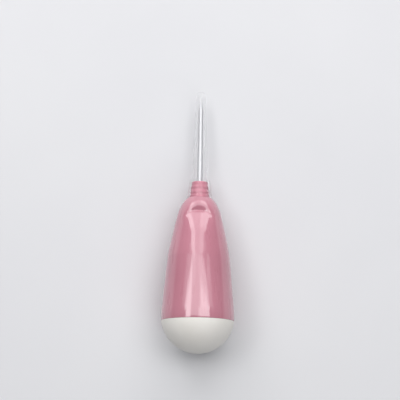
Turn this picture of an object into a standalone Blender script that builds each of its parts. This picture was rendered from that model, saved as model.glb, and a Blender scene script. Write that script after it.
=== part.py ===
import math

import bmesh
import bpy
from mathutils import Matrix

# Sizes are in metres. Distances along the tool run from the back of the palm cap to the point.
SIDES = 32
NEEDLE_SIDES = 20
CURVE_STEPS = 8
MERGE_DISTANCE = 0.00001
SHARP_ANGLE = math.radians(35)

# Clearance between pieces that touch on the real tool
FIT_GAP = 0.0003

# Palm cap: a round skin that ends at the seam, a little behind the tool's widest place
PALM_RADIUS = 0.0170
PALM_SKIN = 0.0022
SEAM_SETBACK = 0.0019

# Outside of the handle, from the widest place forwards
REAR_BAND = 0.0036
CONE_LENGTH = 0.0240
CONE_DROP = 0.00225
BARREL_LENGTH = 0.0185
BARREL_DROP = 0.0039
BARREL_BEND = 0.0030
SHOULDER_LENGTH = 0.0097
SHOULDER_BEND = 0.0065
NOSE_RIM = 0.00055

# Inside of the handle
SHELL_WALL = 0.0028
PLUG_DEPTH = 0.0080
FRONT_WALL = 0.0142

# Finger dimples in the shoulder: a long sloping floor that meets a short front wall
DIMPLE_COUNT = 3
DIMPLE_SIDES = 64
DIMPLE_SETBACK = 0.0070
DIMPLE_DEPTH = 0.0020
DIMPLE_BOW_RADIUS = 0.0260
DIMPLE_FLOOR_SLOPE = math.tan(math.radians(29))
DIMPLE_WALL_SLOPE = math.tan(math.radians(17))

# End plug and its socket for the spine
PLUG_WALL = 0.0020
SOCKET_WALL = 0.0020
SOCKET_FLOOR = 0.0035

# Needle holder: ringed neck, flange, spine and fins
NECK_ROOT_RADIUS = 0.00475
NECK_TIP_RADIUS = 0.00375
RING_COUNT = 3
RING_PITCH = 0.0022
RING_DEPTH = 0.0003
RING_START = 0.0002
NECK_LIP = 0.0008
FLANGE_THICKNESS = 0.0024
SPINE_RADIUS = 0.0040
FIN_THICKNESS = 0.0018
FIN_SETBACK = 0.0040

# Needle: tail inside the holder, tapered shaft and point outside
NEEDLE_ROOT_RADIUS = 0.00130
NEEDLE_FRONT_RADIUS = 0.00105
NEEDLE_SHAFT = 0.0332
NEEDLE_POINT = 0.0075
NEEDLE_TAIL = 0.0235
WING_SPAN = 0.0046
WING_THICKNESS = 0.0012
WING_LENGTH = 0.0050
WING_SETBACK = 0.0020

# Point protector
PROTECTOR_WALL = 0.0008
SLEEVE_ROOM = 0.0017
SLEEVE_TIP_ROOM = 0.0004
TIP_ROOM = 0.0015

# Distances along the tool that follow from the sizes above
WIDEST = PALM_RADIUS
SEAM = WIDEST - SEAM_SETBACK
CONE_START = WIDEST + REAR_BAND
CONE_END = CONE_START + CONE_LENGTH
SHOULDER_START = CONE_END + BARREL_LENGTH
NOSE_FACE = SHOULDER_START + SHOULDER_LENGTH
CAVITY_FRONT = NOSE_FACE - FRONT_WALL
LEDGE = SEAM + PLUG_DEPTH
NECK_LENGTH = RING_START + RING_COUNT * RING_PITCH + NECK_LIP
NECK_TIP = NOSE_FACE + NECK_LENGTH
SHAFT_END = NECK_TIP + NEEDLE_SHAFT
NEEDLE_TIP = SHAFT_END + NEEDLE_POINT
TAIL_END = NECK_TIP - NEEDLE_TAIL
FLANGE_FRONT = CAVITY_FRONT - FIT_GAP
FLANGE_REAR = FLANGE_FRONT - FLANGE_THICKNESS
PROTECTOR_MOUTH = NOSE_FACE + FIT_GAP

# Radii that follow from the sizes above
CONE_SLOPE = CONE_DROP / CONE_LENGTH
CONE_START_RADIUS = PALM_RADIUS - CONE_SLOPE * REAR_BAND / 2
CONE_END_RADIUS = CONE_START_RADIUS - CONE_DROP
SHOULDER_RADIUS = CONE_END_RADIUS - BARREL_DROP
NOSE_BORE_RADIUS = NECK_ROOT_RADIUS + FIT_GAP
NOSE_RADIUS = NOSE_BORE_RADIUS + NOSE_RIM
SKIN_INNER_RADIUS = PALM_RADIUS - PALM_SKIN
PLUG_RADIUS = SKIN_INNER_RADIUS - FIT_GAP
PLUG_INNER_RADIUS = PLUG_RADIUS - PLUG_WALL
SOCKET_RADIUS = SPINE_RADIUS + FIT_GAP
SOCKET_OUTER_RADIUS = SOCKET_RADIUS + SOCKET_WALL
NEEDLE_BORE_RADIUS = NEEDLE_ROOT_RADIUS + FIT_GAP

# Lying pose: one flat side of the handle's cone rests on the ground
FLAT_RATIO = math.cos(math.pi / SIDES)
LYING_TILT = math.atan(CONE_SLOPE * FLAT_RATIO)
AXIS_HEIGHT = CONE_START_RADIUS * FLAT_RATIO * math.cos(LYING_TILT) + CONE_START * math.sin(LYING_TILT)


# A quadratic curve between two profile points, without its first point
def bend(start, corner, end):
    points = []
    for step in range(1, CURVE_STEPS + 1):
        t = step / CURVE_STEPS
        points.append(tuple(
            (1 - t) ** 2 * a + 2 * t * (1 - t) * b + t ** 2 * c
            for a, b, c in zip(start, corner, end)
        ))
    return points


# Points of an arc about a centre on the axis; angles are measured from the equator
def arc(radius, centre, first_angle, last_angle):
    points = []
    for step in range(CURVE_STEPS + 1):
        angle = first_angle + (last_angle - first_angle) * step / CURVE_STEPS
        points.append((radius * math.cos(angle), centre + radius * math.sin(angle)))
    return points


# Outside of the handle as (radius, distance) pairs from its rear face to the nose
def handle_outline():
    rear_angle = -math.asin((SEAM_SETBACK - FIT_GAP / 2) / PALM_RADIUS)
    widest = (PALM_RADIUS, WIDEST)
    cone_start = (CONE_START_RADIUS, CONE_START)
    cone_end = (CONE_END_RADIUS, CONE_END)
    barrel_corner = (CONE_END_RADIUS - CONE_SLOPE * BARREL_BEND, CONE_END + BARREL_BEND)
    shoulder = (SHOULDER_RADIUS, SHOULDER_START)
    run_out = (barrel_corner[0] - SHOULDER_RADIUS) / (SHOULDER_START - barrel_corner[1])
    shoulder_corner = (SHOULDER_RADIUS - run_out * SHOULDER_BEND, SHOULDER_START + SHOULDER_BEND)
    nose = (NOSE_RADIUS, NOSE_FACE)
    outline = arc(PALM_RADIUS, WIDEST, rear_angle, 0)
    outline += bend(widest, (PALM_RADIUS, WIDEST + REAR_BAND / 2), cone_start)
    outline.append(cone_end)
    outline += bend(cone_end, barrel_corner, shoulder)
    outline += bend(shoulder, shoulder_corner, nose)
    return outline


# Radius of the handle's outside at a distance along the tool
def handle_radius(distance):
    outline = handle_outline()
    for (radius_a, a), (radius_b, b) in zip(outline, outline[1:]):
        if a <= distance <= b:
            return radius_a + (radius_b - radius_a) * (distance - a) / (b - a)
    return outline[-1][0]


# Hollow of the handle between two distances, from rear to front, drawn in by a margin
def cavity_outline(rear, front, margin):
    points = []
    for step in range(CURVE_STEPS + 1):
        distance = rear + (front - rear) * step / CURVE_STEPS
        points.append((handle_radius(distance) - SHELL_WALL - margin, distance))
    return points


def new_collection(name):
    collection = bpy.data.collections.new(name)
    bpy.context.scene.collection.children.link(collection)
    return collection


def linear(value):
    return ((value / 255 + 0.055) / 1.055) ** 2.4


def plastic(name, colour, roughness, metallic=0.0, transmission=0.0):
    material = bpy.data.materials.new(name)
    material.use_nodes = True
    shader = material.node_tree.nodes["Principled BSDF"]
    shader.inputs["Base Color"].default_value = (*(linear(value) for value in colour), 1.0)
    shader.inputs["Roughness"].default_value = roughness
    shader.inputs["Metallic"].default_value = metallic
    shader.inputs["Transmission Weight"].default_value = transmission
    return material


def place(obj, collection):
    collection.objects.link(obj)
    obj.parent = tool_axis
    if collection is cutters:
        obj.hide_render = True
        obj.display_type = "WIRE"


# A turned piece from (radius, distance) pairs that run down its outer side from front to rear
def turned(name, profile, collection, sides=SIDES, ring=False):
    edges = [(index, index + 1) for index in range(len(profile) - 1)]
    if ring:
        edges.append((len(profile) - 1, 0))
    mesh = bpy.data.meshes.new(name)
    mesh.from_pydata([(radius, 0, distance) for radius, distance in profile], edges, [])
    obj = bpy.data.objects.new(name, mesh)
    place(obj, collection)
    obj.rotation_euler.z = math.pi / sides
    screw = obj.modifiers.new("Turn", "SCREW")
    screw.axis = "Z"
    screw.angle = 2 * math.pi
    screw.steps = sides
    screw.render_steps = sides
    screw.use_merge_vertices = True
    screw.merge_threshold = MERGE_DISTANCE
    return obj


# A box of the given size whose centre lies on the tool's axis
def box(name, size, distance, turn, collection):
    mesh = bpy.data.meshes.new(name)
    shape = bmesh.new()
    bmesh.ops.create_cube(shape, size=1, matrix=Matrix.Diagonal((*size, 1)))
    shape.to_mesh(mesh)
    shape.free()
    obj = bpy.data.objects.new(name, mesh)
    place(obj, collection)
    obj.location.z = distance
    obj.rotation_euler.z = turn
    return obj


def combine(obj, other, operation):
    modifier = obj.modifiers.new(other.name, "BOOLEAN")
    modifier.operation = operation
    modifier.solver = "EXACT"
    modifier.object = other


# A ring cutter whose inner face, gently bowed across, is the floor and front wall of a dimple
def dimple(index):
    turn = -math.pi / 2 + 2 * math.pi * index / DIMPLE_COUNT
    corner = NOSE_FACE - DIMPLE_SETBACK
    corner_radius = handle_radius(corner) - DIMPLE_DEPTH
    height = PALM_RADIUS - corner_radius
    profile = [
        (DIMPLE_BOW_RADIUS + height, corner + height / DIMPLE_WALL_SLOPE),
        (DIMPLE_BOW_RADIUS + height, corner - height / DIMPLE_FLOOR_SLOPE),
        (DIMPLE_BOW_RADIUS, corner),
    ]
    obj = turned(f"dimple_{index + 1}", profile, cutters, DIMPLE_SIDES, ring=True)
    obj.rotation_euler.z += turn
    obj.location.x = (corner_radius - DIMPLE_BOW_RADIUS) * math.cos(turn)
    obj.location.y = (corner_radius - DIMPLE_BOW_RADIUS) * math.sin(turn)
    return obj


# Turns an object's modifiers into its own mesh and shades it
def finish(obj, material):
    bpy.context.view_layer.update()
    graph = bpy.context.evaluated_depsgraph_get()
    mesh = bpy.data.meshes.new_from_object(obj.evaluated_get(graph))
    obj.modifiers.clear()
    obj.data = mesh
    mesh.name = obj.name
    mesh.materials.clear()
    mesh.materials.append(material)
    mesh.shade_smooth()
    mesh.set_sharp_from_angle(angle=SHARP_ANGLE)


for leftover in list(bpy.data.objects):
    bpy.data.objects.remove(leftover, do_unlink=True)

awl = new_collection("craft_awl")
cutters = new_collection("cutters")

# Point protector: skirt over the neck, tapered sleeve over the needle, closed front end
skirt_inner_radius = NECK_ROOT_RADIUS + FIT_GAP
skirt_top = NECK_TIP + FIT_GAP
skirt_top_radius = NECK_TIP_RADIUS + FIT_GAP
sleeve_start = skirt_top + skirt_top_radius - NEEDLE_ROOT_RADIUS - SLEEVE_ROOM
sleeve_radius = NEEDLE_ROOT_RADIUS + SLEEVE_ROOM
sleeve_end_radius = NEEDLE_FRONT_RADIUS + SLEEVE_TIP_ROOM
sleeve_end = NEEDLE_TIP + TIP_ROOM - sleeve_end_radius
end_radius = sleeve_end_radius + PROTECTOR_WALL
protector_profile = arc(end_radius, sleeve_end, math.pi / 2, 0)
protector_profile.append((sleeve_radius + PROTECTOR_WALL, sleeve_start + PROTECTOR_WALL / 2))
protector_profile.append((skirt_top_radius + PROTECTOR_WALL, skirt_top + PROTECTOR_WALL / 2))
protector_profile.append((skirt_inner_radius + PROTECTOR_WALL, PROTECTOR_MOUTH))
protector_profile.append((skirt_inner_radius, PROTECTOR_MOUTH))
protector_profile.append((skirt_top_radius, skirt_top))
protector_profile.append((sleeve_radius, sleeve_start))
protector_profile += arc(sleeve_end_radius, sleeve_end, 0, math.pi / 2)

# The empty carries the whole tool: its Z axis is the needle's axis, tipped to lie on the ground
rear_reach = WIDEST * math.cos(LYING_TILT) - PALM_RADIUS
front_reach = sleeve_end * math.cos(LYING_TILT) + end_radius
tool_axis = bpy.data.objects.new("tool_axis", None)
awl.objects.link(tool_axis)
tool_axis.rotation_euler.x = -math.pi / 2 - LYING_TILT
tool_axis.location.y = -(rear_reach + front_reach) / 2
tool_axis.location.z = AXIS_HEIGHT

point_protector = turned("point_protector", protector_profile, awl)

# Needle with two coined wings on its tail
needle_profile = [
    (0, NEEDLE_TIP),
    (NEEDLE_FRONT_RADIUS, SHAFT_END),
    (NEEDLE_ROOT_RADIUS, NECK_TIP),
    (NEEDLE_ROOT_RADIUS, TAIL_END),
    (0, TAIL_END),
]
wing_centre = TAIL_END + WING_SETBACK + WING_LENGTH / 2
wing_size = (WING_SPAN, WING_THICKNESS, WING_LENGTH)
wing_room = tuple(side + 2 * FIT_GAP for side in wing_size)
needle = turned("needle", needle_profile, awl, NEEDLE_SIDES)
combine(needle, box("wings", wing_size, wing_centre, 0, cutters), "UNION")

# Needle holder: ringed neck, rod through the nose, flange and spine
holder_profile = [(0, NECK_TIP), (NECK_TIP_RADIUS - RING_DEPTH, NECK_TIP)]
ring_points = RING_COUNT * CURVE_STEPS
for point in range(ring_points, -1, -1):
    along_rings = point / CURVE_STEPS * RING_PITCH
    taper = (RING_START + along_rings) / NECK_LENGTH
    crest = NECK_ROOT_RADIUS + (NECK_TIP_RADIUS - NECK_ROOT_RADIUS) * taper
    groove = RING_DEPTH * (1 + math.cos(2 * math.pi * along_rings / RING_PITCH)) / 2
    if point == ring_points:
        holder_profile.append((crest, NECK_TIP - NECK_LIP / 2))
    holder_profile.append((crest - groove, NOSE_FACE + RING_START + along_rings))
flange_radius = handle_radius(FLANGE_FRONT) - SHELL_WALL - FIT_GAP
spine_end = WIDEST - PLUG_INNER_RADIUS + SOCKET_FLOOR + FIT_GAP
holder_profile += [
    (NECK_ROOT_RADIUS, NOSE_FACE),
    (NECK_ROOT_RADIUS, FLANGE_FRONT),
    (flange_radius, FLANGE_FRONT),
    (flange_radius, FLANGE_REAR),
    (SPINE_RADIUS, FLANGE_REAR),
    (SPINE_RADIUS, spine_end),
    (0, spine_end),
]
needle_holder = turned("needle_holder", holder_profile, awl)

# Crossed fins that fill the hollow of the handle behind the flange
fin_rear = LEDGE + FIN_SETBACK
fin_front = FLANGE_REAR + FLANGE_THICKNESS / 2
fin_room = [(0, fin_front)] + cavity_outline(fin_rear, fin_front, FIT_GAP)[::-1] + [(0, fin_rear)]
fin_limit = turned("fin_limit", fin_room, cutters)
for index in range(2):
    fin_size = (2 * PALM_RADIUS, FIN_THICKNESS, CAVITY_FRONT)
    turn = math.pi / 4 + math.pi / 2 * index
    fin = box(f"fins_{index + 1}", fin_size, CAVITY_FRONT / 2 + fin_rear / 2, turn, cutters)
    combine(fin, fin_limit, "INTERSECT")
    combine(needle_holder, fin, "UNION")

# Blind bore in the holder for the needle's tail and wings
tail_room_profile = [
    (0, NECK_TIP + NEEDLE_SHAFT),
    (NEEDLE_BORE_RADIUS, NECK_TIP + NEEDLE_SHAFT),
    (NEEDLE_BORE_RADIUS, TAIL_END - FIT_GAP),
    (0, TAIL_END - FIT_GAP),
]
tail_room = turned("tail_room", tail_room_profile, cutters, NEEDLE_SIDES)
combine(needle_holder, tail_room, "DIFFERENCE")
combine(needle_holder, box("wing_room", wing_room, wing_centre, 0, cutters), "DIFFERENCE")

# Handle shell: outside from nose to seam, then plug socket, ledge, hollow and nose bore
shell_profile = handle_outline()[::-1]
shell_profile += [
    (SKIN_INNER_RADIUS, SEAM + FIT_GAP / 2),
    (SKIN_INNER_RADIUS, LEDGE),
]
shell_profile += cavity_outline(LEDGE, CAVITY_FRONT, 0)
shell_profile += [(NOSE_BORE_RADIUS, CAVITY_FRONT), (NOSE_BORE_RADIUS, NOSE_FACE)]
handle_shell = turned("handle_shell", shell_profile, awl, ring=True)
for index in range(DIMPLE_COUNT):
    combine(handle_shell, dimple(index), "DIFFERENCE")

# End plug: rounded cup with a central socket for the spine
socket_floor = spine_end - FIT_GAP
socket_mouth = LEDGE - FIT_GAP
meeting_angle = -math.acos(SOCKET_OUTER_RADIUS / PLUG_INNER_RADIUS)
plug_profile = [
    (0, socket_floor),
    (SOCKET_RADIUS, socket_floor),
    (SOCKET_RADIUS, socket_mouth),
    (SOCKET_OUTER_RADIUS, socket_mouth),
]
plug_profile += arc(PLUG_INNER_RADIUS, WIDEST, meeting_angle, 0)
plug_profile += [(PLUG_INNER_RADIUS, socket_mouth), (PLUG_RADIUS, socket_mouth)]
plug_profile += arc(PLUG_RADIUS, WIDEST, 0, -math.pi / 2)
end_plug = turned("end_plug", plug_profile, awl)

# Palm cap: round skin over the plug
rim_drop = SEAM_SETBACK + FIT_GAP / 2
palm_profile = arc(SKIN_INNER_RADIUS, WIDEST, -math.pi / 2, -math.asin(rim_drop / SKIN_INNER_RADIUS))
palm_profile += arc(PALM_RADIUS, WIDEST, -math.asin(rim_drop / PALM_RADIUS), -math.pi / 2)
palm_cap = turned("palm_cap", palm_profile, awl)

finish(needle, plastic("polished_steel", (222, 220, 222), 0.16, metallic=1.0))
finish(needle_holder, plastic("neck_pink", (214, 132, 152), 0.30))
finish(handle_shell, plastic("handle_pink", (206, 122, 142), 0.18))
finish(end_plug, plastic("plug_white", (226, 224, 220), 0.40))
finish(palm_cap, plastic("palm_ivory", (236, 232, 224), 0.45))
finish(point_protector, plastic("clear_cap", (244, 247, 248), 0.05, transmission=1.0))
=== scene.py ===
import math
from bisect import bisect
import bpy
import bmesh
from mathutils import Matrix, Vector


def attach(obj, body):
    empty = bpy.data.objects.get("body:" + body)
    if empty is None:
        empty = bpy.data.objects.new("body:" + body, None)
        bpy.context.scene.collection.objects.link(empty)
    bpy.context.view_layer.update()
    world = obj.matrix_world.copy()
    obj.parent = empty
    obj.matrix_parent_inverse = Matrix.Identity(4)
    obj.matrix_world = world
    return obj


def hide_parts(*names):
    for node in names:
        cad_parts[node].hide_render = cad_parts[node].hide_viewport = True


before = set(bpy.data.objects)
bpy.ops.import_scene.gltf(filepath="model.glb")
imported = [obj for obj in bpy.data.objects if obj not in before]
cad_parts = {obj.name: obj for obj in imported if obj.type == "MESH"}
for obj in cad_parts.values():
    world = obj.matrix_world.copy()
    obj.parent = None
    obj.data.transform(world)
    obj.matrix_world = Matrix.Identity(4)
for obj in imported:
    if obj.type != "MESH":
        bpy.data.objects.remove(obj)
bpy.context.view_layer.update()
scene = bpy.context.scene
print("awl: frame loaded,", len(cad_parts), "nodes")

# how the tool lies: its own Z runs along the needle, its own -Y looks up
tool = {
    "tail": (0.0, -0.0614013, 0.0185914),  # back of the palm cap
    "tilt": 5.330184,                      # degrees, point down
}
toolLean = Matrix.Rotation(-math.pi / 2 - math.radians(tool["tilt"]), 4, "X")
toolFrame = Matrix.Translation(tool["tail"]) @ toolLean

softEdge = {
    "share": 0.45,    # most of a side that one rounded corner may take
    "support": 1.1,   # row that holds the corner, times its rounding
    "steps": 5, "weld": 1e-6,
    "sharp": 40,      # degrees, shaded smooth below
}


def mix(a, b, t):
    return a + (b - a) * t


def smooth(t):
    t = min(1.0, max(0.0, t))
    return t * t * (3 - 2 * t)


def linearColour(red, green, blue):
    parts = [v / 255 for v in (red, green, blue)]
    return tuple(((v + 0.055) / 1.055) ** 2.4 if v > 0.04045 else v / 12.92 for v in parts) + (1.0,)


# quadratic curve through (radius, along) points, first point left out
def curveRows(start, corner, end, steps):
    rows = []
    for i in range(1, steps + 1):
        t = i / steps
        rows.append(tuple(mix(mix(p, q, t), mix(q, r, t), t) for p, q, r in zip(start, corner, end)))
    return rows


# straight run of (radius, along) points, first point left out
def straightRows(start, end, steps):
    return [(mix(start[0], end[0], i / steps), mix(start[1], end[1], i / steps)) for i in range(1, steps + 1)]


# outline of (radius, along, rounding) corners, each rounded off and held by a support row
def softRows(corners):
    rows = []
    for i, (radius, along, rounding) in enumerate(corners):
        here = Vector((radius, along))
        if rounding == 0 or i in (0, len(corners) - 1):
            rows.append((radius, along))
            continue
        before = Vector(corners[i - 1][:2]) - here
        after = Vector(corners[i + 1][:2]) - here
        back = min(rounding, before.length * softEdge["share"])
        ahead = min(rounding, after.length * softEdge["share"])
        start = here + before.normalized() * back
        end = here + after.normalized() * ahead
        rows.append(tuple(here + before.normalized() * back * softEdge["support"]))
        rows.append(tuple(start))
        rows += curveRows(tuple(start), tuple(here), tuple(end), softEdge["steps"])
        rows.append(tuple(here + after.normalized() * ahead * softEdge["support"]))
    return rows


# turns an outline of (radius, along) rows about the tool's axis
def turnRows(rows, steps, closed=False):
    bm = bmesh.new()
    verts = [bm.verts.new((radius, 0, along)) for radius, along in rows]
    edges = [bm.edges.new(pair) for pair in zip(verts, verts[1:])]
    if closed:
        edges.append(bm.edges.new((verts[-1], verts[0])))
    bmesh.ops.spin(bm, geom=verts + edges, cent=(0, 0, 0), axis=(0, 0, 1), angle=2 * math.pi, steps=steps,
                   use_merge=True)
    weldRows(bm)
    return bm


def weldRows(bm):
    bmesh.ops.remove_doubles(bm, verts=bm.verts[:], dist=softEdge["weld"])
    bmesh.ops.recalc_face_normals(bm, faces=bm.faces[:])


def makePiece(name, bm, material, body, node):
    mesh = bpy.data.meshes.new(name)
    bm.to_mesh(mesh)
    bm.free()
    mesh.materials.append(material)
    mesh.shade_smooth()
    mesh.set_sharp_from_angle(angle=math.radians(softEdge["sharp"]))
    piece = bpy.data.objects.new(name, mesh)
    scene.collection.objects.link(piece)
    piece.matrix_world = toolFrame
    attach(piece, body)
    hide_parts(node)
    print("awl:", name, len(mesh.polygons), "faces")


# small node helpers
def newMaterial(name):
    material = bpy.data.materials.new(name)
    material.use_nodes = True
    tree = material.node_tree
    return material, tree, tree.nodes["Principled BSDF"]


def addNoise(tree, scale, detail, stretch=(1, 1, 1), roughness=0.5):
    coords = tree.nodes.new("ShaderNodeTexCoord")
    mapping = tree.nodes.new("ShaderNodeMapping")
    mapping.inputs["Scale"].default_value = stretch
    noise = tree.nodes.new("ShaderNodeTexNoise")
    noise.inputs["Scale"].default_value = scale
    noise.inputs["Detail"].default_value = detail
    noise.inputs["Roughness"].default_value = roughness
    tree.links.new(coords.outputs["Object"], mapping.inputs["Vector"])
    tree.links.new(mapping.outputs["Vector"], noise.inputs["Vector"])
    return noise.outputs["Fac"]


noiseSpan = (0.3, 0.7)  # where most of a noise lies


def addRange(tree, source, span, socket, fromSpan=noiseSpan):
    node = tree.nodes.new("ShaderNodeMapRange")
    node.inputs["From Min"].default_value, node.inputs["From Max"].default_value = fromSpan
    node.inputs["To Min"].default_value, node.inputs["To Max"].default_value = span
    tree.links.new(source, node.inputs["Value"])
    tree.links.new(node.outputs["Result"], socket)


def addColours(tree, source, deep, pale, socket):
    ramp = tree.nodes.new("ShaderNodeValToRGB")
    for stop, position, colour in zip(ramp.color_ramp.elements, noiseSpan, (deep, pale)):
        stop.position, stop.color = position, colour
    tree.links.new(source, ramp.inputs["Fac"])
    tree.links.new(ramp.outputs["Color"], socket)


def addBump(tree, shader, source, strength, distance, before=None):
    bump = tree.nodes.new("ShaderNodeBump")
    bump.inputs["Strength"].default_value = strength
    bump.inputs["Distance"].default_value = distance
    tree.links.new(source, bump.inputs["Height"])
    if before is not None:
        tree.links.new(before, bump.inputs["Normal"])
    tree.links.new(bump.outputs["Normal"], shader.inputs["Normal"])
    return bump.outputs["Normal"]


# glossy pink of the handle and the neck
pinkShine = {
    "specular": 0.22,  # most of the shine is in the clear skin
    "coatRoughness": 0.055, "coatIor": 1.77, "coatWorn": 0.94,
}
handleLook = {
    "pale": linearColour(193, 128, 143), "deep": linearColour(186, 121, 136), "rough": (0.24, 0.36), "coat": 1.0,
}
neckLook = {
    "pale": linearColour(198, 132, 147), "deep": linearColour(192, 126, 141), "rough": (0.38, 0.50), "coat": 0.35,
}


def glossPink(name, look):
    material, tree, shader = newMaterial(name)
    flow = addNoise(tree, 90, 4, (1, 1, 0.4))  # faint flow of the dye
    addColours(tree, flow, look["deep"], look["pale"], shader.inputs["Base Color"])
    polish = addNoise(tree, 420, 5, (1, 1, 0.12), 0.65)  # fine lengthwise handling marks
    addRange(tree, polish, look["rough"], shader.inputs["Roughness"])
    peel = addBump(tree, shader, addNoise(tree, 700, 2), 0.02, 0.0002)  # moulded skin
    addBump(tree, shader, polish, 0.012, 0.0001, peel)
    scuff = addNoise(tree, 4200, 3, (1, 1, 0.15))  # hairline scuffs in the shine
    addRange(tree, scuff, (look["coat"] * pinkShine["coatWorn"], look["coat"]), shader.inputs["Coat Weight"])
    shader.inputs["Specular IOR Level"].default_value = pinkShine["specular"]
    shader.inputs["Coat Roughness"].default_value = pinkShine["coatRoughness"]
    shader.inputs["Coat IOR"].default_value = pinkShine["coatIor"]
    return material


# satin white of the palm cap and the plug
satinShine = {"rough": (0.40, 0.52), "ior": 1.46}
palmLook = {"pale": linearColour(238, 235, 229), "deep": linearColour(233, 229, 222)}
plugLook = {"pale": linearColour(228, 226, 222), "deep": linearColour(222, 219, 214)}


def satinIvory(name, look):
    material, tree, shader = newMaterial(name)
    addColours(tree, addNoise(tree, 70, 4), look["deep"], look["pale"], shader.inputs["Base Color"])
    rub = addNoise(tree, 260, 5, (1, 1, 1), 0.6)  # palm rub
    addRange(tree, rub, satinShine["rough"], shader.inputs["Roughness"])
    addBump(tree, shader, addNoise(tree, 2600, 3), 0.10, 0.0001)  # eroded mould grain
    shader.inputs["IOR"].default_value = satinShine["ior"]
    return material


steelLook = {
    "pale": linearColour(229, 229, 231), "deep": linearColour(221, 221, 224), "rough": (0.56, 0.66),
    "edge": (0.25, 0.25, 0.27, 1.0),  # painted shade: a dark edge tint makes the reflection darker where the needle turns away
}


def polishedSteel(name):
    material, tree, shader = newMaterial(name)
    shader.inputs["Metallic"].default_value = 1.0
    # painted shade on the needle's flanks, from the dark edge tint
    shader.inputs["Specular Tint"].default_value = steelLook["edge"]
    tint = addNoise(tree, 300, 3, (1, 1, 0.3))
    addColours(tree, tint, steelLook["deep"], steelLook["pale"], shader.inputs["Base Color"])
    draw = addNoise(tree, 2600, 4, (1, 1, 0.03), 0.7)  # lengthwise polishing lines
    addRange(tree, draw, steelLook["rough"], shader.inputs["Roughness"])
    addBump(tree, shader, draw, 0.05, 0.00005)
    return material


clearLook = {
    "tint": (0.985, 0.992, 0.995, 1.0), "ior": 1.3, "rough": (0.03, 0.08),
    "blend": 0.3, "turned": (0.2, 1.0), "body": (0.06, 0.40),  # thin wall: clear face on, fuller towards its edges
}


def clearPlastic(name):
    material, tree, shader = newMaterial(name)
    shader.inputs["Base Color"].default_value = clearLook["tint"]
    shader.inputs["Transmission Weight"].default_value = 1.0
    shader.inputs["IOR"].default_value = clearLook["ior"]
    haze = addNoise(tree, 500, 4, (1, 1, 0.15))
    addRange(tree, haze, clearLook["rough"], shader.inputs["Roughness"])
    edge = tree.nodes.new("ShaderNodeLayerWeight")
    edge.inputs["Blend"].default_value = clearLook["blend"]
    addRange(tree, edge.outputs["Facing"], clearLook["body"], shader.inputs["Alpha"], clearLook["turned"])
    addBump(tree, shader, addNoise(tree, 320, 2, (1, 1, 0.2)), 0.01, 0.0002)  # flow waves of the moulding
    return material


handlePink = glossPink("handle_pink_gloss", handleLook)
neckPink = glossPink("neck_pink_gloss", neckLook)
palmIvory = satinIvory("palm_ivory_satin", palmLook)
plugWhite = satinIvory("plug_white_satin", plugLook)
needleSteel = polishedSteel("needle_steel_polished")
clearCap = clearPlastic("clear_cap_plastic")
print("awl: finishes ready")

# handle shell, metres along the tool from the back of the palm cap
grip = {
    "seam": 0.0151, "domeRadius": 0.0170, "seamGap": 0.00003, "edge": 0.00012,
    "edgeRow": 1.5, "skinRow": 1.6,  # rows held behind the seam's edge, times that edge
    "band": 0.0036, "cone": 0.0240, "coneDrop": 0.00225,
    "barrel": 0.0185, "barrelDrop": 0.0039, "barrelBend": 0.0030,
    "shoulder": 0.0097, "shoulderBend": 0.0065, "noseRadius": 0.0056, "noseEdge": 0.0003,
    "wall": 0.0028, "seatRadius": 0.0148, "seatDepth": 0.0080, "bore": 0.00505, "boreDepth": 0.0142,
    "rimEdge": 0.0002, "insideEdge": 0.0003, "insideBend": 0.0008,
    "domeRows": 8, "bandRows": 10, "coneRows": 24, "barrelRows": 64, "shoulderRows": 72, "steps": 256,
}
# finger dimples: a slope in from the rear, crowned across, that meets a round front wall
dimple = {
    "count": 3, "shift": -0.0004, "corner": 0.0003,
    "lip": 0.00085, "runOut": 0.00277, "lipFrom": 0.0014, "lipOver": 0.0034,
    "floorAt": 0.06171, "floorFall": 0.600, "floorCurve": 90.9, "bow": 41.8,
    "bowlAt": 0.06353, "bowlHalf": 0.0098, "stretch": 1.513, "rear": 1.126,
    "foot": 0.01137, "wallRise": 0.350, "wallCurve": 16.3, "wallFall": 0.402, "wallBow": 17.6,
    "start": 0.045, "skin": 0.0012, "boreSkin": 0.0003, "facing": 0.001,  # what is left alone
}
coneSlope = grip["coneDrop"] / grip["cone"]
coneStart = grip["domeRadius"] + grip["band"]
coneEnd = coneStart + grip["cone"]
shoulderStart = coneEnd + grip["barrel"]
noseFace = shoulderStart + grip["shoulder"]


def gripOutline():
    dome = grip["domeRadius"]
    coneA = (dome - coneSlope * grip["band"] / 2, coneStart)
    coneB = (coneA[0] - grip["coneDrop"], coneEnd)
    barrelCorner = (coneB[0] - coneSlope * grip["barrelBend"], coneEnd + grip["barrelBend"])
    shoulder = (coneB[0] - grip["barrelDrop"], shoulderStart)
    fall = (barrelCorner[0] - shoulder[0]) / (shoulderStart - barrelCorner[1])
    shoulderCorner = (shoulder[0] - fall * grip["shoulderBend"], shoulderStart + grip["shoulderBend"])
    rows = []
    for i in range(grip["domeRows"] + 1):
        along = mix(grip["seam"], dome, i / grip["domeRows"])
        rows.append((math.sqrt(dome ** 2 - (dome - along) ** 2), along))
    rows += curveRows((dome, dome), (dome, dome + grip["band"] / 2), coneA, grip["bandRows"])
    rows += straightRows(coneA, coneB, grip["coneRows"])
    rows += curveRows(coneB, barrelCorner, shoulder, grip["barrelRows"])
    rows += curveRows(shoulder, shoulderCorner, (grip["noseRadius"], noseFace), grip["shoulderRows"])
    return rows


gripRows = gripOutline()
gripSteps = [along for radius, along in gripRows]


def gripRadius(along):
    i = min(max(bisect(gripSteps, along), 1), len(gripRows) - 1)
    (r0, a0), (r1, a1) = gripRows[i - 1:i + 1]
    return mix(r0, r1, min(1, (along - a0) / (a1 - a0)))


def softMin(a, b, reach):
    return min(a, b) - max(reach - abs(a - b), 0) ** 2 / reach / 4


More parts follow.
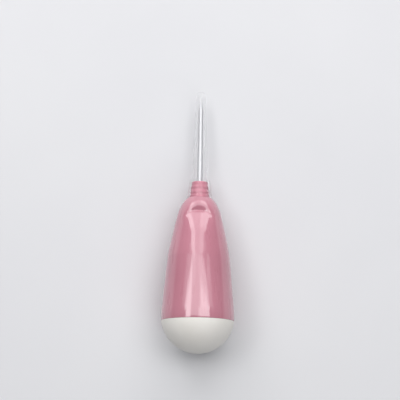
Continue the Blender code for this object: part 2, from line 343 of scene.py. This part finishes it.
# height of a dimple's bottom over the tool's axis
def dimpleHeight(across, along):
    into = along - dimple["floorAt"]
    floor = gripRadius(dimple["floorAt"]) - dimple["floorFall"] * into
    floor -= dimple["floorCurve"] * max(0, into) ** 2 / 2 + dimple["bow"] * across ** 2 / 2
    ahead = along - dimple["bowlAt"]
    reach = math.hypot(across, ahead * dimple["stretch" if ahead > 0 else "rear"]) - dimple["bowlHalf"]
    wall = dimple["foot"] + dimple["wallRise"] * reach + dimple["wallCurve"] * reach * abs(reach)
    wall -= dimple["wallFall"] * ahead + dimple["wallBow"] * across ** 2 / 2
    return -softMin(-floor, -wall, dimple["corner"])


# sinks the finger dimples, with a rounded lip that runs out softly at the rear
def sinkDimples(bm):
    for vert in bm.verts:
        along = vert.co.z
        radius = math.hypot(vert.co.x, vert.co.y)
        inside = radius < gripRadius(along) - dimple["skin"] or radius < grip["bore"] + dimple["boreSkin"]
        if along < dimple["start"] or inside:
            continue
        front = smooth((along - dimple["floorAt"] - dimple["lipFrom"]) / dimple["lipOver"])
        lip = mix(dimple["runOut"], dimple["lip"], front)
        for i in range(dimple["count"]):
            turn = -math.pi / 2 + 2 * math.pi * i / dimple["count"]
            outward = Vector((math.cos(turn), math.sin(turn), 0))
            height = vert.co.dot(outward)
            if height > dimple["facing"]:
                across = vert.co.dot(Vector((-outward.y, outward.x, 0))) - dimple["shift"]
                vert.co += outward * (softMin(dimpleHeight(across, along), height, lip) - height)


def makeGrip():
    rearFace = grip["seam"] + grip["seamGap"]
    edgeRow = rearFace + grip["edge"] * grip["edgeRow"]
    skinRow = rearFace + grip["edge"] * grip["skinRow"]
    ledge = grip["seam"] + grip["seatDepth"]
    front = noseFace - grip["boreDepth"]
    outer = [row for row in gripRows if skinRow < row[1] < noseFace - grip["noseEdge"]]
    inner = [
        (grip["noseRadius"] + grip["noseEdge"], noseFace - grip["noseEdge"], 0),
        (grip["noseRadius"], noseFace, grip["noseEdge"]),
        (grip["bore"], noseFace, grip["rimEdge"]),
        (grip["bore"], front, grip["insideEdge"]),
        (gripRadius(front) - grip["wall"], front, grip["insideBend"]),
        (gripRadius(coneEnd) - grip["wall"], coneEnd, 0),
        (gripRadius(ledge) - grip["wall"], ledge, grip["insideEdge"]),
        (grip["seatRadius"], ledge, grip["insideEdge"]),
        (grip["seatRadius"], rearFace, grip["rimEdge"]),
        (gripRadius(rearFace), rearFace, grip["edge"]),
        (gripRadius(edgeRow), edgeRow, 0),
    ]
    bm = turnRows(outer + softRows(inner), grip["steps"], closed=True)
    sinkDimples(bm)
    makePiece("handle_shell_skin", bm, handlePink, "handle", "handle_shell")


makeGrip()

# palm cap, a hollow half ball
palm = {
    "radius": 0.0170, "rim": 0.01507, "skin": 0.0022, "edge": 0.00012, "insideEdge": 0.0002,
    "outerStop": 0.022, "innerStop": 0.06,  # radians short of the rim
    "lipShare": 0.992, "lipDepth": 0.0004, "lipFoot": 0.990,  # the rim's inner corner, against the inner radius
    "rows": 56, "innerRows": 24, "steps": 192,
}


def makePalm():
    centre = palm["radius"]
    rim = palm["rim"]
    inner = palm["radius"] - palm["skin"]
    rimAngle = math.asin((rim - centre) / palm["radius"])
    rows = []
    for i in range(palm["rows"] + 1):
        angle = mix(-math.pi / 2, rimAngle - palm["outerStop"], i / palm["rows"])
        rows.append((palm["radius"] * math.cos(angle), centre + palm["radius"] * math.sin(angle)))
    rows[0] = (0, 0)
    rows += softRows([
        (*rows[-1], 0),
        (palm["radius"] * math.cos(rimAngle), rim, palm["edge"]),
        (inner * palm["lipShare"], rim, palm["insideEdge"]),
        (inner * palm["lipFoot"], rim - palm["lipDepth"], 0),
    ])[1:]
    for i in range(1, palm["innerRows"] + 1):
        angle = mix(rimAngle - palm["innerStop"], -math.pi / 2, i / palm["innerRows"])
        rows.append((max(0.0, inner * math.cos(angle)), centre + inner * math.sin(angle)))
    rows[-1] = (0, centre - inner)
    bm = turnRows(rows, palm["steps"])
    makePiece("palm_cap_skin", bm, palmIvory, "handle", "palm_cap")


makePalm()

# ringed neck and the holder behind it
holder = {
    "rootRadius": 0.00475, "tipRadius": 0.00375, "rings": 3, "pitch": 0.0022, "ringDepth": 0.00020,
    "ringStart": -0.0006, "grooveSharpness": 1.2, "firstGroove": 0.35,  # the first groove nearly fills up at the root
    "lip": 0.0016, "lipRun": 0.0007, "lipIn": 0.00018, "lipOut": 0.00002, "lipEdge": 0.0005,
    "boreRadius": 0.0016, "boreEnd": 0.0566, "boreRun": 0.001, "boreEdge": 0.00025,
    "flangeFront": 0.0583, "flangeRear": 0.0559, "flangeRadius": 0.0094, "flangeEdge": 0.0003,
    "spineRadius": 0.0040, "spineEnd": 0.0083, "spineRoot": 0.0006, "spineEdge": 0.0004,
    "ringRows": 16, "steps": 128,
}
neckLength = holder["ringStart"] + holder["rings"] * holder["pitch"] + holder["lip"]
neckTip = noseFace + neckLength


def makeHolder():
    rows = [(0, holder["boreEnd"]), (holder["boreRadius"], holder["boreEnd"])]
    rows += softRows([
        (holder["boreRadius"], neckTip - holder["boreRun"], 0),
        (holder["boreRadius"], neckTip, holder["boreEdge"]),
        (holder["tipRadius"] - holder["lipIn"], neckTip, holder["lipEdge"]),
        (holder["tipRadius"] + holder["lipOut"], neckTip - holder["lipRun"], 0),
    ])
    for i in range(holder["rings"] * holder["ringRows"], -1, -1):
        along = i / holder["ringRows"] * holder["pitch"]
        crest = mix(holder["rootRadius"], holder["tipRadius"], (holder["ringStart"] + along) / neckLength)
        wave = (1 + math.cos(2 * math.pi * along / holder["pitch"])) / 2
        groove = holder["ringDepth"] * wave ** holder["grooveSharpness"]
        groove *= mix(holder["firstGroove"], 1, smooth(along / holder["pitch"]))
        rows.append((crest - groove, noseFace + holder["ringStart"] + along))
    rows += softRows([
        (holder["rootRadius"], noseFace, 0),
        (holder["rootRadius"], holder["flangeFront"], holder["flangeEdge"]),
        (holder["flangeRadius"], holder["flangeFront"], holder["flangeEdge"]),
        (holder["flangeRadius"], holder["flangeRear"], holder["flangeEdge"]),
        (holder["spineRadius"], holder["flangeRear"], holder["spineRoot"]),
        (holder["spineRadius"], holder["spineEnd"], holder["spineEdge"]),
        (0, holder["spineEnd"], 0),
    ])
    bm = turnRows(rows, holder["steps"])
    makePiece("needle_holder_neck", bm, neckPink, "handle", "needle_holder")


makeHolder()

# needle
spike = {
    "rootRadius": 0.00130, "frontRadius": 0.00105, "shaft": 0.0332, "point": 0.0075,
    "tail": 0.0235, "tailShare": 0.8, "tailEdge": 0.0004, "tailRun": 0.0006,
    "bendBack": 0.0008, "bendAt": 0.0004, "bendShare": 0.995,  # soft bend from the shaft into the point
    "pointAt": 0.0020, "pointShare": 0.80,
    "tipRadius": 0.00006, "tipBack": 0.00005, "tipCap": 0.00001, "tipShare": 0.6,
    "tailRows": 6, "shaftRows": 24, "bendRows": 8, "pointRows": 14, "steps": 64,
}
needleTip = neckTip + spike["shaft"] + spike["point"]


def makeNeedle():
    root, front, tip = spike["rootRadius"], spike["frontRadius"], spike["tipRadius"]
    shaftEnd = neckTip + spike["shaft"]
    tail = neckTip - spike["tail"]
    rows = [(0, tail), (root * spike["tailShare"], tail)]
    rows += [(root, tail + spike["tailEdge"]), (root, tail + spike["tailRun"])]
    rows += straightRows(rows[-1], (root, neckTip), spike["tailRows"])
    rows += straightRows((root, neckTip), (front, shaftEnd - spike["bendBack"]), spike["shaftRows"])
    bend = (front * spike["bendShare"], shaftEnd + spike["bendAt"])
    pointStart = (front * spike["pointShare"], shaftEnd + spike["pointAt"])
    rows += curveRows(rows[-1], bend, pointStart, spike["bendRows"])
    rows += straightRows(pointStart, (tip, needleTip - spike["tipBack"]), spike["pointRows"])
    rows += [(tip * spike["tipShare"], needleTip - spike["tipCap"]), (0, needleTip)]
    bm = turnRows(rows, spike["steps"])
    makePiece("needle_polished", bm, needleSteel, "handle", "needle")


makeNeedle()

# clear push-on cap over the needle
cover = {
    "mouth": 0.0731, "mouthRadius": 0.00505, "skirtTop": 0.0807, "skirtTopRadius": 0.00405,
    "sleeveStart": 0.08175, "sleeveRadius": 0.0030, "sleeveEnd": 0.12115, "endRadius": 0.00145, "wall": 0.0008,
    "mouthEdge": 0.00035, "outerBend": 0.0009, "sleeveBend": 0.0008, "skirtBend": 0.0005, "insideEdge": 0.0003,
    "endRows": 12, "steps": 96,
}


def makeCover():
    wall = cover["wall"]
    endInner = cover["endRadius"]
    endOuter = endInner + wall
    bead = (cover["mouthRadius"] + wall / 2, cover["mouth"], 0)
    outside = softRows([
        bead,
        (cover["mouthRadius"] + wall, cover["mouth"], cover["mouthEdge"]),
        (cover["skirtTopRadius"] + wall, cover["skirtTop"] + wall / 2, cover["outerBend"]),
        (cover["sleeveRadius"] + wall, cover["sleeveStart"] + wall / 2, cover["outerBend"]),
        (endOuter, cover["sleeveEnd"], 0),
    ])
    inside = [(0, cover["sleeveEnd"] + endInner)]
    for i in range(1, cover["endRows"]):
        angle = math.pi / 2 * i / cover["endRows"]
        outside.append((endOuter * math.cos(angle), cover["sleeveEnd"] + endOuter * math.sin(angle)))
        angle = math.pi / 2 * (1 - i / cover["endRows"])
        inside.append((endInner * math.cos(angle), cover["sleeveEnd"] + endInner * math.sin(angle)))
    outside.append((0, cover["sleeveEnd"] + endOuter))
    inside += softRows([
        (endInner, cover["sleeveEnd"], 0),
        (cover["sleeveRadius"], cover["sleeveStart"], cover["sleeveBend"]),
        (cover["skirtTopRadius"], cover["skirtTop"], cover["skirtBend"]),
        (cover["mouthRadius"], cover["mouth"], cover["insideEdge"]),
        bead,
    ])
    bm = turnRows(outside, cover["steps"])
    lining = turnRows(inside, cover["steps"])
    spare = bpy.data.meshes.new("cover_lining")
    lining.to_mesh(spare)
    lining.free()
    bm.from_mesh(spare)
    bpy.data.meshes.remove(spare)
    weldRows(bm)
    makePiece("point_protector_clear", bm, clearCap, "protector", "point_protector")


makeCover()

# the plug inside stays as it is, with its own finish
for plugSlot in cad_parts["end_plug"].material_slots:
    plugSlot.material = plugWhite
print("awl: pieces dressed")

# floor, camera and world
studio = {
    "floorSize": 3.0, "floorCells": 8, "floorLevel": -0.0001, "floorRough": (0.55, 0.7),
    "floorPale": linearColour(221, 221, 223), "floorDeep": linearColour(217, 217, 220),
    "target": (0.0002, 0.0102, 0.0119), "distance": 1.1, "elevation": 86.35, "roll": 0.9,
    "sensor": 36, "pixels": 400, "metresPerPixel": 0.000467, "clip": (0.01, 10),
    "world": (0.13, 0.134, 0.145, 1.0),
}
# light panels: centre right of, up from and in front of the target as the camera sees it, size, radiance
lyingPanels = {  # over the awl, level with the picture
    "low_left_near": {"at": (-0.422, 0.1145, 0.70), "size": (0.256, 0.269), "glow": 4.4},
    "low_left": {"at": (-0.479, 0.291, 0.70), "size": (0.370, 0.084), "glow": 4.4},
    "low_left_far": {"at": (-0.407, 0.3395, 0.70), "size": (0.226, 0.013), "glow": 3.6},
    "low_left_end": {"at": (-0.615, 0.344, 0.70), "size": (0.190, 0.022), "glow": 3.4},
    "low_left_inner": {"at": (-0.207, 0.3275, 0.70), "size": (0.174, 0.039), "glow": 2.0},
    "low_left_skirt": {"at": (-0.675, 0.378, 0.70), "size": (0.650, 0.064), "glow": 0.8},
    "low_middle": {"at": (-0.132, 0.199, 0.70), "size": (0.324, 0.317), "glow": 1.95},
    "low_right_near": {"at": (0.280, 0.130, 0.70), "size": (0.500, 0.240), "glow": 3.7},
    "low_right_inner": {"at": (0.0675, 0.2785, 0.70), "size": (0.075, 0.057), "glow": 2.3},
    "low_right": {"at": (0.3375, 0.2785, 0.70), "size": (0.465, 0.057), "glow": 4.2},
    "low_right_far": {"at": (0.180, 0.3205, 0.70), "size": (0.300, 0.027), "glow": 2.3},
    "low_right_end": {"at": (0.450, 0.3125, 0.70), "size": (0.240, 0.011), "glow": 4.6},
    "low_right_rim": {"at": (0.450, 0.326, 0.70), "size": (0.240, 0.016), "glow": 2.6},
    "low_right_skirt": {"at": (0.695, 0.356, 0.70), "size": (0.510, 0.068), "glow": 0.9},
}
standingPanels = {  # beyond the point, upright, facing the handle
    "far_left": {"at": (-0.445, 0.75, 0.69), "size": (0.31, 0.18), "glow": 2.8},
    "far_left_top": {"at": (-0.4375, 0.75, 1.11), "size": (0.295, 0.66), "glow": 2.9},
    "far_middle": {"at": (-0.115, 0.75, 1.00), "size": (0.35, 0.80), "glow": 1.5},
    "far_right": {"at": (0.2075, 0.75, 1.02), "size": (0.295, 0.84), "glow": 2.07},
    "far_left_low": {"at": (-0.445, 0.75, 0.30), "size": (0.31, 0.60), "glow": 3.4},
    "far_middle_low": {"at": (-0.115, 0.75, 0.30), "size": (0.35, 0.60), "glow": 1.65},
    "far_right_low": {"at": (0.2625, 0.75, 0.30), "size": (0.405, 0.60), "glow": 2.8},
    "far_right_edge": {"at": (0.3725, 0.75, 0.71), "size": (0.055, 0.22), "glow": 2.1},
    "far_right_rim": {"at": (0.4325, 0.75, 0.675), "size": (0.065, 0.15), "glow": 2.1},
    "far_left_inner": {"at": (-0.255, 0.75, 1.275), "size": (0.07, 0.25), "glow": 1.3},
    "far_left_skirt": {"at": (-0.6875, 0.75, 1.11), "size": (0.205, 0.66), "glow": 0.6},
    "far_right_skirt": {"at": (0.4475, 0.75, 1.11), "size": (0.205, 0.58), "glow": 0.6},
}
aimedPanels = {  # from behind the palm, turned to the awl
    "palm_fill": {"at": (0.42, -0.62, 0.72), "size": (0.60, 0.30), "glow": 2.3},
}


def makeFloor():
    material, tree, shader = newMaterial("studio_floor")
    addColours(tree, addNoise(tree, 6, 3), studio["floorDeep"], studio["floorPale"], shader.inputs["Base Color"])
    addRange(tree, addNoise(tree, 40, 3), studio["floorRough"], shader.inputs["Roughness"])
    cells = studio["floorCells"]
    bm = bmesh.new()
    bmesh.ops.create_grid(bm, x_segments=cells, y_segments=cells, size=studio["floorSize"] / 2)
    mesh = bpy.data.meshes.new("studio_floor")
    bm.to_mesh(mesh)
    bm.free()
    mesh.materials.append(material)
    floor = bpy.data.objects.new("studio_floor", mesh)
    scene.collection.objects.link(floor)
    floor.location.z = studio["floorLevel"]


target = Vector(studio["target"])
rise = math.radians(studio["elevation"])
right = Vector((1, 0, 0))  # the camera's own directions
up = Vector((0, math.sin(rise), math.cos(rise)))
back = Vector((0, -math.cos(rise), math.sin(rise)))


def makeCamera():
    data = bpy.data.cameras.new("studio_camera")
    data.sensor_width = studio["sensor"]
    data.lens = studio["sensor"] * studio["distance"] / (studio["pixels"] * studio["metresPerPixel"])
    data.clip_start, data.clip_end = studio["clip"]
    camera = bpy.data.objects.new("studio_camera", data)
    scene.collection.objects.link(camera)
    turn = Matrix((right, up, back)).transposed().to_4x4()
    roll = Matrix.Rotation(math.radians(studio["roll"]), 4, "Z")
    camera.matrix_world = Matrix.Translation(target + back * studio["distance"]) @ turn @ roll
    scene.camera = camera


def makePanel(name, panel, facing, top):
    width, length = panel["size"]
    data = bpy.data.lights.new(name, "AREA")
    data.shape = "RECTANGLE"
    data.size, data.size_y = width, length
    data.energy = panel["glow"] * math.pi * width * length
    light = bpy.data.objects.new(name, data)
    scene.collection.objects.link(light)
    side = top.cross(facing).normalized()
    basis = Matrix((side, top, facing)).transposed().to_4x4()
    light.matrix_world = Matrix.Translation(target + panelPlace(panel)) @ basis
    light.visible_camera = False


def panelPlace(panel):
    x, y, z = panel["at"]
    return right * x + up * y + back * z


makeFloor()
makeCamera()
for panelName, panel in lyingPanels.items():
    makePanel(panelName, panel, back, up)
for panelName, panel in standingPanels.items():
    makePanel(panelName, panel, up, back)
for panelName, panel in aimedPanels.items():
    aim = panelPlace(panel).normalized()
    makePanel(panelName, panel, aim, aim.cross(right))
world = bpy.data.worlds.new("studio_world")
world.use_nodes = True
world.node_tree.nodes["Background"].inputs["Color"].default_value = studio["world"]
scene.world = world
scene.view_settings.view_transform = "Standard"
print("awl: studio ready")
